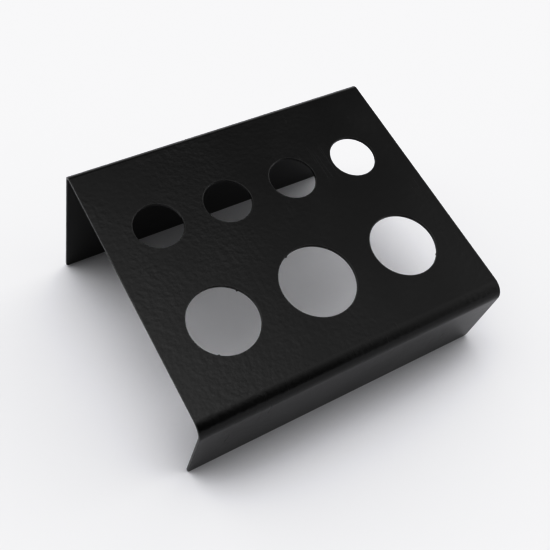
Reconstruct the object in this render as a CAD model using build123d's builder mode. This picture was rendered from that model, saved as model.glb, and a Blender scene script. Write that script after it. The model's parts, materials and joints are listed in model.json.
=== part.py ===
from build123d import *
from math import atan2, cos, degrees, sin
import os

# A sloping stand for small airbrush cups, folded from one blank of steel sheet.
# Both long edges of the top plate are folded down square to it as legs. The back
# leg is the longer one, so the plate slopes down to the front. Seven round holes
# take the cups, and the whole stand has one thin powder coat.
#
# Frame: millimetres, +Z up, the folds run along X, and the low front edge faces -Y.
# The origin is the centre of the stand's outer box, on the surface it stands on.

# Folded sheet
width = 90.0  # along the folds
plate_depth = 76.0  # over both legs, square to the folds
front_leg = 27.0  # from the plate's top face to the leg's cut end
back_leg = 46.0
sheet = 0.8  # steel and coat together
front_fold = 4.0  # outside radius
back_fold = 2.0
leg_corner = 0.7  # the legs' free corners, in the plane of the leg
coated_edge = 0.15  # rounding that the coat leaves on every cut edge

# Holes for small cups, in the row nearer the back
small_hole = 13.0
small_count = 4
small_pitch = 20.0
small_row = 53.0  # from the front leg's outer face

# Holes for large cups, in the row nearer the front
large_hole = 18.5
middle_hole = 20.5
large_pitch = 27.2
large_row = 23.0

# The two legs' lowest edges are on one level, which sets the slope of the plate.
slope = atan2(back_leg - front_leg, plate_depth - sheet)
run = cos(slope)
rise = sin(slope)

# The plate's outer front corner, before it is rounded by the fold. Its height puts
# the front leg's lowest edge at zero. Its place along Y centres the outer box, which
# reaches from the front fold to the back leg's outer edge.
corner_height = coated_edge + (front_leg - coated_edge) * run - coated_edge * rise
front_reach = front_fold * (run + rise - 1)
back_reach = coated_edge + (plate_depth - coated_edge) * run + (back_leg - coated_edge) * rise
corner_y = -(front_reach + back_reach) / 2

# Top face of the plate: local X is across the stand, local Y runs up the slope.
plate_plane = Plane(
    origin=(0, corner_y, corner_height), x_dir=(1, 0, 0), z_dir=(0, -rise, run)
)
# Left end of the stand: local X runs up the slope, local Y is square to the plate.
end_plane = Plane(
    origin=(-width / 2, corner_y, corner_height), x_dir=(0, run, rise), z_dir=(1, 0, 0)
)


def crosses_sheet(edge):
    """True for an edge that runs straight through the thickness of the sheet."""
    return abs(edge.length - sheet) < sheet / 100


def free_corners(part):
    """The four corners where the legs' cut ends meet the sides of the stand."""
    return part.edges().filter_by(crosses_sheet)


def cut_rims(part):
    """The sharp edges round every cut face, which is a face with an edge across the sheet."""
    cut_faces = part.faces().filter_by(lambda face: any(map(crosses_sheet, face.edges())))
    return cut_faces.edges().filter_by(lambda edge: not crosses_sheet(edge))


os.makedirs("parts", exist_ok=True)

with BuildPart() as bent_sheet_stand:
    # Side view of the folded sheet, carried across the width
    with BuildSketch(end_plane):
        with BuildLine():
            FilletPolyline(
                (0, -front_leg),
                (0, 0),
                (plate_depth, 0),
                (plate_depth, -back_leg),
                radius=[front_fold, back_fold],
            )
            offset(amount=sheet, side=Side.RIGHT)
        make_face()
    extrude(amount=width)

    fillet(free_corners(bent_sheet_stand.part), radius=leg_corner)

    # Holes for the cups, square to the plate
    with Locations(plate_plane):
        with Locations((0, small_row)):
            with GridLocations(small_pitch, 0, small_count, 1):
                Hole(radius=small_hole / 2)
        with Locations((-large_pitch, large_row), (large_pitch, large_row)):
            Hole(radius=large_hole / 2)
        with Locations((0, large_row)):
            Hole(radius=middle_hole / 2)

    fillet(cut_rims(bent_sheet_stand.part), radius=coated_edge)

bent_sheet_stand.part.label = "bent_sheet_stand"
export_step(bent_sheet_stand.part, "parts/bent_sheet_stand.step")
print("slope of the plate, degrees:", round(degrees(slope), 2))
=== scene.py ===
import json
import math

import bpy
import numpy as np
from mathutils import Matrix, Vector
from mathutils.geometry import delaunay_2d_cdt


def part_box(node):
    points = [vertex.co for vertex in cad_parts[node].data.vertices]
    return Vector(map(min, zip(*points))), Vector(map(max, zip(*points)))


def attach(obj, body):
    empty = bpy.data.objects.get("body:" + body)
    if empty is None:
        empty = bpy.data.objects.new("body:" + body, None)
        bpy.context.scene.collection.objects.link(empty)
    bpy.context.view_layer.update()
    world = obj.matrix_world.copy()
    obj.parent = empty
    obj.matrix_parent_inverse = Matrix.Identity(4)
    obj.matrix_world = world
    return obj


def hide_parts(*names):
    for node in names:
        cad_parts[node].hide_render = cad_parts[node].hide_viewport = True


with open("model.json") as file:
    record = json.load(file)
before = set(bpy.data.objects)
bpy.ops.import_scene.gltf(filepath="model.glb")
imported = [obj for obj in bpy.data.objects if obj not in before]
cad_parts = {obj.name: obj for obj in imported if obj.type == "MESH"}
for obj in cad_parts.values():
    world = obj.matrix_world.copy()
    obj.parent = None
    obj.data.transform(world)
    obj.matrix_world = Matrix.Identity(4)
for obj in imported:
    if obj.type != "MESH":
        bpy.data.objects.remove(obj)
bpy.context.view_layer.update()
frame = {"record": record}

# A sloping cup stand, folded from one powder-coated steel sheet. The blank is meshed flat,
# with its outline, holes and coated edges, and then every point of it is folded.
# Lengths are in metres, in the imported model's frame.

MM = 0.001
NODE = "bent_sheet_stand"

# ---------------------------------------------------------------- the sheet's sizes
SHEET = 0.8 * MM
PLATE_DEPTH = 76 * MM
FRONT_LEG = 27 * MM
BACK_LEG = 46 * MM
FRONT_FOLD = 4 * MM  # the folds' outside radii
BACK_FOLD = 2 * MM
LEG_CORNER = 0.7 * MM
COATED_EDGE = 0.15 * MM  # rounding of the cut edges

node_low, node_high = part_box(NODE)
HALF_WIDTH = (node_high.x - node_low.x) / 2
MOUNTS = {mount["name"]: mount for mount in frame["record"]["mounts"]}
_, NEGATIVE_RISE, RUN = MOUNTS["plate_top"]["axis"]
RISE = -NEGATIVE_RISE

# The sharp corner that the front fold rounds off. The fold's foremost line is at the front of
# the box, and the front leg's lowest edge is on the ground.
CORNER_Y = node_low.y - FRONT_FOLD * (RUN + RISE - 1)
CORNER_Z = node_low.z + COATED_EDGE + (FRONT_LEG - COATED_EDGE) * RUN - COATED_EDGE * RISE

# Stations along the flat blank, measured at the middle of the sheet from the front leg's end
FRONT_ARC = (FRONT_FOLD - SHEET / 2) * math.pi / 2
BACK_ARC = (BACK_FOLD - SHEET / 2) * math.pi / 2
FRONT_FOLD_START = FRONT_LEG - FRONT_FOLD
PLATE_START = FRONT_FOLD_START + FRONT_ARC
PLATE_END = PLATE_START + PLATE_DEPTH - FRONT_FOLD - BACK_FOLD
BACK_LEG_START = PLATE_END + BACK_ARC
BLANK = BACK_LEG_START + BACK_LEG - BACK_FOLD

# ---------------------------------------------------------------- the mesh's fineness
GRID = 1.5 * MM
FRONT_FOLD_STEPS = 16
BACK_FOLD_STEPS = 10
LEG_CORNER_STEPS = 5
EDGE_STEPS = 4  # over each of the two roundings of a cut edge
RIM_STEP = 0.16 * MM
RIM_MULTIPLE = 8  # a rim's number of points is a multiple of this
RIM_RINGS = [(0.45 * MM, 2), (1.2 * MM, 5)]  # distance from the rim; every second, fifth point
RIM_CLEARANCE = 2.2 * MM  # the least distance from a rim to the grid's points
SLACK = 1e-6  # a share of a step, so that a rounding error doesn't add one
DECIMALS = 9  # of a metre, so that rows which meet count as one
INSIDE_ONLY = 1  # the triangulation keeps to the inside of the outline
MERGE = 1e-7  # millimetres within which it would join two points

# Small nibs that the laser left on the hole rims where it closed its cut: each one's angle
# from +X and height. Their width is from the middle to where they have sunk to about a third.
NIB_WIDTH = 0.2 * MM
NIBS = {
    "large_hole_left": [(41, 0.38 * MM), (-125, 0.28 * MM)],
    "middle_hole": [(113, 0.25 * MM)],
    "large_hole_right": [(-40, 0.15 * MM)],
    "small_hole_mid_left": [(70, 0.12 * MM)],
}

EDGE_MARK_FADES_DOWN = 2.4  # how much faster the lighter edge fades down a cut end than along a face: partly wear, partly a painted highlight


# ---------------------------------------------------------------- folding
def on_stand_axes(across, up_slope, out):
    """Vectors given across the stand, up the plate's slope and out of the plate."""
    return np.stack([across, up_slope * RUN - out * RISE, up_slope * RISE + out * RUN], axis=1)


def fold(across, along, depth):
    """Carries points of the flat blank to the folded sheet.

    Returns the points and, for each, the directions along the sheet and out of its top face.
    """
    front = along < (PLATE_START + PLATE_END) / 2
    start = np.where(front, FRONT_FOLD_START, PLATE_END)
    end = np.where(front, PLATE_START, BACK_LEG_START)
    radius = np.where(front, FRONT_FOLD, BACK_FOLD) - SHEET / 2
    on_arc = np.clip(along, start, end)
    heading = np.where(front, math.pi / 2, 0) - (on_arc - start) / radius
    slide = along - on_arc
    lift = radius + SHEET / 2 - depth
    centre_up = np.where(front, FRONT_FOLD, PLATE_DEPTH - BACK_FOLD)
    centre_out = np.where(front, -FRONT_FOLD, -BACK_FOLD)
    up_slope = centre_up + slide * np.cos(heading) - lift * np.sin(heading)
    out = centre_out + slide * np.sin(heading) + lift * np.cos(heading)
    points = on_stand_axes(across, up_slope, out)
    points[:, 1] += CORNER_Y
    points[:, 2] += CORNER_Z
    nothing = np.zeros_like(heading)
    travel = on_stand_axes(nothing, np.cos(heading), np.sin(heading))
    outward = on_stand_axes(nothing, -np.sin(heading), np.cos(heading))
    return points, travel, outward


# ---------------------------------------------------------------- the blank's contours
def spread(start, end, step):
    """Evenly spaced values from start to end, both included, no further apart than step."""
    steps = math.ceil((end - start) / step - SLACK)
    return np.linspace(start, end, max(1, steps) + 1)


COLUMNS = spread(-HALF_WIDTH + LEG_CORNER, HALF_WIDTH - LEG_CORNER, GRID)
ROWS = np.unique(
    np.concatenate(
        [
            spread(LEG_CORNER, FRONT_FOLD_START, GRID),
            np.linspace(FRONT_FOLD_START, PLATE_START, FRONT_FOLD_STEPS + 1),
            spread(PLATE_START, PLATE_END, GRID),
            np.linspace(PLATE_END, BACK_LEG_START, BACK_FOLD_STEPS + 1),
            spread(BACK_LEG_START, BLANK - LEG_CORNER, GRID),
        ]
    ).round(DECIMALS)
)


def outline(inset):
    """The blank's edge, drawn in by inset, anticlockwise, with its four rounded corners."""
    half = HALF_WIDTH - inset
    radius = LEG_CORNER - inset
    turn = np.linspace(0, math.pi / 2, LEG_CORNER_STEPS + 1)
    centres = [
        (HALF_WIDTH - LEG_CORNER, LEG_CORNER),
        (HALF_WIDTH - LEG_CORNER, BLANK - LEG_CORNER),
        (-HALF_WIDTH + LEG_CORNER, BLANK - LEG_CORNER),
        (-HALF_WIDTH + LEG_CORNER, LEG_CORNER),
    ]
    edges = [
        np.stack([np.full(len(ROWS) - 2, half), ROWS[1:-1]], axis=1),
        np.stack([COLUMNS[-2:0:-1], np.full(len(COLUMNS) - 2, BLANK - inset)], axis=1),
        np.stack([np.full(len(ROWS) - 2, -half), ROWS[-2:0:-1]], axis=1),
        np.stack([COLUMNS[1:-1], np.full(len(COLUMNS) - 2, inset)], axis=1),
    ]
    sides = []
    for quarter, (centre, edge) in enumerate(zip(centres, edges)):
        angle = (quarter - 1) * math.pi / 2 + turn
        sides.append(np.array(centre) + radius * np.stack([np.cos(angle), np.sin(angle)], axis=1))
        sides.append(edge)
    return np.concatenate(sides)


def hole_rim(centre, radius, nibs=()):
    """A function that gives the hole's edge, drawn back into the sheet by inset, clockwise."""
    count = math.ceil(2 * math.pi * radius / RIM_STEP / RIM_MULTIPLE) * RIM_MULTIPLE
    angle = -np.linspace(0, 2 * math.pi, count, endpoint=False)
    direction = np.stack([np.cos(angle), np.sin(angle)], axis=1)
    reach = np.full(count, radius)
    for nib_angle, height in nibs:
        away = np.angle(np.exp(1j * (angle - math.radians(nib_angle)))) * radius
        reach -= height * np.exp(-((away / NIB_WIDTH) ** 2))
    return lambda inset: np.array(centre) + (reach + inset)[:, None] * direction


def hole_on_blank(mount):
    """The centre and radius of one of the stand's holes, on the flat blank."""
    x, y, z = mount["pos_m"]
    up_slope = (y - CORNER_Y) * RUN + (z - CORNER_Z) * RISE
    return (x, PLATE_START + up_slope - FRONT_FOLD), mount["dims"]["r_mm"] * MM


HOLES = {name: hole_on_blank(mount) for name, mount in MOUNTS.items() if mount["kind"] == "bore"}
CONTOURS = [outline]
for name, (centre, radius) in HOLES.items():
    CONTOURS.append(hole_rim(centre, radius, NIBS.get(name, ())))


# ---------------------------------------------------------------- the sheet's mesh
def cut_edge_rows():
    """Rows of points down a cut edge, between the two faces: inset, depth, normal's angle."""
    rows = []
    for angle in np.linspace(0, math.pi / 2, EDGE_STEPS + 1)[1:]:
        rows.append(((1 - math.sin(angle)) * COATED_EDGE, (1 - math.cos(angle)) * COATED_EDGE, angle))
    mirrored = [(inset, SHEET - depth, math.pi - angle) for inset, depth, angle in reversed(rows)]
    return rows + mirrored


def grid_points():
    """Points inside the blank, clear of its edges and holes, with finer rings round the holes."""
    grid = np.stack(np.meshgrid(COLUMNS[1:-1], ROWS[1:-1]), axis=-1).reshape(-1, 2)
    rings = []
    for centre, radius in HOLES.values():
        distance = np.hypot(*(grid - centre).T)
        grid = grid[distance > radius + RIM_CLEARANCE]
        for gap, every in RIM_RINGS:
            rings.append(hole_rim(centre, radius + gap)(0)[::every])
    return np.concatenate([grid] + rings)


def spans_hole(corners, contour_of):
    """Whether a triangle, whose corners run anticlockwise, lies across a hole.

    If so, they are all on the hole's rim. The rim's points are numbered clockwise, so the
    corners come in falling order.
    """
    a, b, c = corners
    rising = (a < b) + (b < c) + (c < a) == 2
    return contour_of[a] == contour_of[b] == contour_of[c] > 0 and not rising


def triangulate(contours, inside):
    """Delaunay triangles of the blank between its outline and its holes."""
    points = np.concatenate(contours + [inside])
    contour_of = np.full(len(points), -1)
    edges = []
    first = 0
    for number, contour in enumerate(contours):
        ring = first + np.arange(len(contour))
        contour_of[ring] = number
        edges += list(zip(ring.tolist(), np.roll(ring, -1).tolist()))
        first += len(contour)
    in_mm = [Vector(point) for point in points / MM]
    kept, _, faces, sources, _, _ = delaunay_2d_cdt(in_mm, edges, [], INSIDE_ONLY, MERGE)
    assert len(kept) == len(points), "the triangulation added or merged points"
    triangles = [[sources[corner][0] for corner in face] for face in faces]
    return points, [corners for corners in triangles if not spans_hole(corners, contour_of)]


def edge_distance(points, depths):
    """How far points are from the faces' edges, with the way down a cut end counted as longer."""
    x, y = points.T
    nearest = np.minimum(HALF_WIDTH - np.abs(x), np.minimum(y, BLANK - y))
    for centre, radius in HOLES.values():
        nearest = np.minimum(nearest, np.hypot(*(points - centre).T) - radius)
    return np.clip(nearest, 0, None) + EDGE_MARK_FADES_DOWN * np.minimum(depths, SHEET - depths)


def cut_edge_faces(rims, layer_start):
    """Quads down the cut edges, between each layer's rim points and the next layer's."""
    faces = []
    for upper, lower in zip(layer_start[:-1], layer_start[1:]):
        first = 0
        for rim in rims:
            ring = first + np.arange(len(rim))
            for a, b in zip(ring, np.roll(ring, -1)):
                faces.append([int(upper + a), int(lower + a), int(lower + b), int(upper + b)])
            first += len(rim)
    return faces


def sheet_mesh(name):
    """The whole folded sheet as one closed mesh, with exact normals."""
    rims = [contour(COATED_EDGE) for contour in CONTOURS]
    points, triangles = triangulate(rims, grid_points())
    past_edge = np.concatenate([contour(0) for contour in CONTOURS]) - np.concatenate(rims)
    past_edge /= np.linalg.norm(past_edge, axis=1)[:, None]
    flat = np.zeros_like(points)

    # Layers from the top face down: points, depth, the normal's angle, and which way it leans
    layers = [(points, 0, 0, flat)]
    for inset, depth, angle in cut_edge_rows():
        row = np.concatenate([contour(inset) for contour in CONTOURS])
        layers.append((row, depth, angle, past_edge))
    layers.append((points, SHEET, math.pi, flat))

    layer_points, layer_depths, layer_angles, layer_leans = zip(*layers)
    counts = [len(layer) for layer in layer_points]
    place = np.concatenate(layer_points)
    depth = np.repeat(layer_depths, counts)
    angle = np.repeat(layer_angles, counts)
    lean = np.concatenate(layer_leans)
    position, travel, outward = fold(place[:, 0], place[:, 1], depth)
    normal = outward * np.cos(angle)[:, None] + travel * (lean[:, 1] * np.sin(angle))[:, None]
    normal[:, 0] += lean[:, 0] * np.sin(angle)

    layer_start = np.cumsum([0] + counts[:-1])
    bottom = int(layer_start[-1])
    bottom_face = [[bottom + corner for corner in reversed(face)] for face in triangles]
    faces = triangles + bottom_face + cut_edge_faces(rims, layer_start)

    mesh = bpy.data.meshes.new(name)
    mesh.from_pydata(position.tolist(), [], faces)
    # Distance to the cut edges, which places the lighter edge of the coat: partly wear, partly a
    # painted highlight along the rims
    edge_attribute = mesh.attributes.new("edge_distance", "FLOAT", "POINT")
    edge_attribute.data.foreach_set("value", edge_distance(place, depth).astype(np.float32))
    mesh.shade_smooth()
    mesh.normals_split_custom_set_from_vertices(normal.tolist())
    return mesh


# ---------------------------------------------------------------- shader nodes
def add(tree, kind, inputs=None, **settings):
    """Adds a node, and gives its inputs values or links them to other nodes' outputs."""
    node = tree.nodes.new(kind)
    for name, value in settings.items():
        setattr(node, name, value)
    for socket, value in (inputs or {}).items():
        if isinstance(value, bpy.types.NodeSocket):
            tree.links.new(value, node.inputs[socket])
        else:
            node.inputs[socket].default_value = value
    return node


def calculate(tree, operation, *values):
    """The result of a math node. Its values are numbers or other nodes' outputs."""
    return add(tree, "ShaderNodeMath", dict(enumerate(values)), operation=operation).outputs[0]


def noise(tree, place, size, detail=0.0):
    """Noise with features of about the given size in metres, from 0 to 1."""
    inputs = {"Vector": place, "Scale": 1 / size, "Detail": detail}
    return add(tree, "ShaderNodeTexNoise", inputs).outputs["Fac"]


def ramp(tree, value, start, end, low=0.0, high=1.0):
    """Eases from low to high as the value goes from start to end."""
    inputs = {"Value": value, "From Min": start, "From Max": end, "To Min": low, "To Max": high}
    return add(tree, "ShaderNodeMapRange", inputs, interpolation_type="SMOOTHSTEP").outputs["Result"]


def specks(tree, place, spacing, radius, share):
    """Round dots, one in some of the cells of the given spacing, 1 inside and 0 outside."""
    cells = add(tree, "ShaderNodeTexVoronoi", {"Vector": place, "Scale": 1 / spacing})
    dot = ramp(tree, cells.outputs["Distance"], radius / spacing, SPECK_CORE * radius / spacing)
    pick = add(tree, "ShaderNodeSeparateColor", {"Color": cells.outputs["Color"]}).outputs["Red"]
    return calculate(tree, "MULTIPLY", dot, calculate(tree, "LESS_THAN", pick, share))


def layered(tree, base, amounts, patterns):
    """The base value with each named pattern added, times its amount."""
    for name, amount in amounts.items():
        base = calculate(tree, "MULTIPLY_ADD", patterns[name], amount, base)
    return base


# ---------------------------------------------------------------- the powder coat
PATCH_SIZE = 22 * MM  # patches where the coat is a little lighter, duller and bumpier
GRAIN_SIZE = 0.5 * MM
PEEL_SIZE = 1.3 * MM  # the bumps of the orange peel
PEEL_HEIGHT = 0.055 * MM
PITS = (6 * MM, 0.28 * MM, 0.2)  # spacing, radius, share of the cells that have one
DUST = (9 * MM, 0.16 * MM, 0.25)
SCRATCH_WIDTH = 0.5 * MM
SCRATCH_TURN = 0.7  # radians that the noise is turned before it is stretched
SCRATCH_STRETCH = (1, 0.04, 0.04)  # the scratches run up the slope, 25 times longer than wide
SCUFF_SIZE = 14 * MM
WEAR_AND_HIGHLIGHT_REACH = (0.35 * MM, 0.12 * MM)  # distances from the edge where the wear and the painted rim highlight start and are full
WEAR_AND_HIGHLIGHT_SIZE = 3 * MM
OFFSET = (0.31, 0.17, 0.23)  # moves some patterns, so that they don't follow the others
SPECK_CORE = 0.4  # a speck is at full height within this share of its radius

# Ramps: where on the noise they start and end, and the values at those two ends
SCRATCHED = (0.66, 0.72)
SCUFFED = (0.56, 0.68)
WORN_AND_HIGHLIT = (0.3, 0.7, 0.4, 1.0)
COLOUR = (0.3, 0.7, 0.002, 0.0045)
ROUGHNESS = (0.25, 0.75, 0.18, 0.23)
PEEL_STRENGTH = (0.3, 0.7, 0.3, 1.3)

# What each pattern adds to the coat's colour, roughness and height
# Near the cut edges the coat is lighter: partly wear, partly a painted highlight along the rims
COLOUR_AMOUNTS = {"grain": 0.006, "rubbed_and_highlit": 0.022, "scuffs": 0.003, "dust": 0.03}
ROUGHNESS_AMOUNTS = {"grain": 0.05, "rubbed_and_highlit": 0.12, "scuffs": 0.05, "dust": 0.3}
HEIGHT_AMOUNTS = {"grain": 0.06, "pits": -0.9, "dust": 0.5}


def coat_patterns(tree):
    """The coat's patterns by name, each from 0 to 1 over the stand."""
    place = add(tree, "ShaderNodeTexCoord").outputs["Object"]
    moved = add(tree, "ShaderNodeMapping", {"Vector": place, "Location": OFFSET})
    elsewhere = moved.outputs["Vector"]
    stretch = {"Vector": elsewhere, "Rotation": (0, 0, SCRATCH_TURN), "Scale": SCRATCH_STRETCH}
    streaks = add(tree, "ShaderNodeMapping", stretch).outputs["Vector"]
    scratched = ramp(tree, noise(tree, streaks, SCRATCH_WIDTH, detail=1.0), *SCRATCHED)
    scuffed = ramp(tree, noise(tree, elsewhere, SCUFF_SIZE), *SCUFFED)
    # A lighter band along the cut edges: partly wear, partly a painted highlight along the rims
    distance = add(tree, "ShaderNodeAttribute", attribute_name="edge_distance").outputs["Fac"]
    near_edge = ramp(tree, distance, *WEAR_AND_HIGHLIGHT_REACH)
    worn_and_highlit = ramp(tree, noise(tree, place, WEAR_AND_HIGHLIGHT_SIZE, detail=3.0), *WORN_AND_HIGHLIT)
    return {
        "patches": noise(tree, place, PATCH_SIZE, detail=2.0),
        "grain": noise(tree, place, GRAIN_SIZE, detail=2.0),
        "peel": noise(tree, place, PEEL_SIZE, detail=1.5),
        "pits": specks(tree, place, *PITS),
        "dust": specks(tree, elsewhere, *DUST),
        "scuffs": calculate(tree, "MULTIPLY", scratched, scuffed),
        "rubbed_and_highlit": calculate(tree, "MULTIPLY", near_edge, worn_and_highlit),
    }


def black_coat():
    """Satin black powder coat: orange peel, grain, pits, dust, faint scuffs, and edges lightened
    partly by wear and partly by a painted highlight.
    """
    material = bpy.data.materials.new("black_coat")
    material.use_nodes = True
    tree = material.node_tree
    shader = tree.nodes["Principled BSDF"]
    patterns = coat_patterns(tree)
    patches = patterns["patches"]

    tone = ramp(tree, patches, *COLOUR)
    tone = layered(tree, tone, COLOUR_AMOUNTS, patterns)
    grey = add(tree, "ShaderNodeCombineColor", {"Red": tone, "Green": tone, "Blue": tone})
    tree.links.new(grey.outputs["Color"], shader.inputs["Base Color"])

    roughness = ramp(tree, patches, *ROUGHNESS)
    roughness = layered(tree, roughness, ROUGHNESS_AMOUNTS, patterns)
    tree.links.new(roughness, shader.inputs["Roughness"])

    strength = ramp(tree, patches, *PEEL_STRENGTH)
    height = calculate(tree, "MULTIPLY", patterns["peel"], strength)
    height = layered(tree, height, HEIGHT_AMOUNTS, patterns)
    bump = add(tree, "ShaderNodeBump", {"Height": height, "Distance": PEEL_HEIGHT})
    tree.links.new(bump.outputs["Normal"], shader.inputs["Normal"])
    return material


# ---------------------------------------------------------------- the stand
stand = bpy.data.objects.new("folded_stand", sheet_mesh("folded_stand"))
bpy.context.scene.collection.objects.link(stand)
stand.data.materials.append(black_coat())
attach(stand, "root")
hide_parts(NODE)

# ---------------------------------------------------------------- the floor
FLOOR_REACH = 3.0
FLOOR_COLOUR = (0.79, 0.79, 0.81, 1)
FLOOR_ROUGHNESS = 0.9


def floor():
    """A plain pale floor under the stand."""
    mesh = bpy.data.meshes.new("floor")
    reach = FLOOR_REACH
    corners = [(-reach, -reach, 0), (reach, -reach, 0), (reach, reach, 0), (-reach, reach, 0)]
    mesh.from_pydata(corners, [], [(0, 1, 2, 3)])
    obj = bpy.data.objects.new("floor", mesh)
    bpy.context.scene.collection.objects.link(obj)
    material = bpy.data.materials.new("pale_floor")
    material.use_nodes = True
    shader = material.node_tree.nodes["Principled BSDF"]
    shader.inputs["Base Color"].default_value = FLOOR_COLOUR
    shader.inputs["Roughness"].default_value = FLOOR_ROUGHNESS
    mesh.materials.append(material)


floor()

# ---------------------------------------------------------------- the camera
CAMERA_PLACE = Vector((-95.97, -132.70, 194.78)) * MM
FORWARD = Vector((0.41057, 0.58026, -0.70337))
RIGHT = Vector((0.85239, -0.51819, 0.07006))
SENSOR = 36  # this and the lens are in millimetres
LENS = 56.94
SHIFT = (0.0101, -0.0900)
NEAREST = 0.005


def camera():
    """The camera, high to the left of the stand and a little rolled."""
    data = bpy.data.cameras.new("camera")
    data.sensor_width = SENSOR
    data.lens = LENS
    data.shift_x, data.shift_y = SHIFT
    data.clip_start = NEAREST
    obj = bpy.data.objects.new("camera", data)
    bpy.context.scene.collection.objects.link(obj)
    axes = Matrix((RIGHT, RIGHT.cross(FORWARD), -FORWARD)).transposed()
    obj.matrix_world = Matrix.Translation(CAMERA_PLACE) @ axes.to_4x4()
    bpy.context.scene.camera = obj


camera()

# ---------------------------------------------------------------- the light
SKY = 3.24
TOWARDS_ZENITH = -0.2  # the sky's change from the horizon to the zenith
GLOWS = [  # strength, and in degrees the width, azimuth from +Y towards +X and elevation
    (4.0, 18, 326, 88),
    (-3.05, 27.5, 38, 62),
    (-2.0, 79, 202, -6),
    (-3.6, 33, 200, 14),
    (1.25, 33, 90, 12),
]

GAMMA = 0.63  # under 1, so it adds contrast
CURVE_WHITE = 1.5  # the brightness at the right-hand end of the curve
CURVE = [(0.3, 0.45), (0.5, 0.78), (0.6, 0.9), (0.8, 0.98)]
CURVE_END = (1, 0.995)
ALL_COLOURS = 3  # the number of the curve that red, green and blue share


def studio():
    """A soft white sky: brighter overhead and low on the right, dimmer behind and in front."""
    world = bpy.data.worlds.new("studio")
    bpy.context.scene.world = world
    world.use_nodes = True
    tree = world.node_tree
    direction = add(tree, "ShaderNodeTexCoord").outputs["Generated"]
    up = add(tree, "ShaderNodeSeparateXYZ", {"Vector": direction}).outputs["Z"]
    light = calculate(tree, "MULTIPLY_ADD", up, TOWARDS_ZENITH, SKY)
    for strength, width, azimuth, elevation in GLOWS:
        turn = math.radians(azimuth)
        rise = math.radians(elevation)
        towards = (math.cos(rise) * math.sin(turn), math.cos(rise) * math.cos(turn), math.sin(rise))
        inputs = {0: direction, 1: towards}
        aligned = add(tree, "ShaderNodeVectorMath", inputs, operation="DOT_PRODUCT").outputs["Value"]
        falloff = 1 / math.radians(width) ** 2
        glow = calculate(tree, "EXPONENT", calculate(tree, "MULTIPLY_ADD", aligned, falloff, -falloff))
        light = calculate(tree, "MULTIPLY_ADD", glow, strength, light)
    light = calculate(tree, "MAXIMUM", light, 0.0)
    background = tree.nodes["Background"]
    background.inputs["Color"].default_value = (1, 1, 1, 1)
    tree.links.new(light, background.inputs["Strength"])


def tones():
    """The photo's strong contrast, with a soft shoulder that keeps the pale floor from clipping."""
    view = bpy.context.scene.view_settings
    view.view_transform = "Standard"
    view.gamma = GAMMA
    view.use_curve_mapping = True
    mapping = view.curve_mapping
    mapping.white_level = (CURVE_WHITE, CURVE_WHITE, CURVE_WHITE)
    points = mapping.curves[ALL_COLOURS].points
    points[-1].location = CURVE_END
    for point in CURVE:
        points.new(*point)
    mapping.update()


studio()
tones()
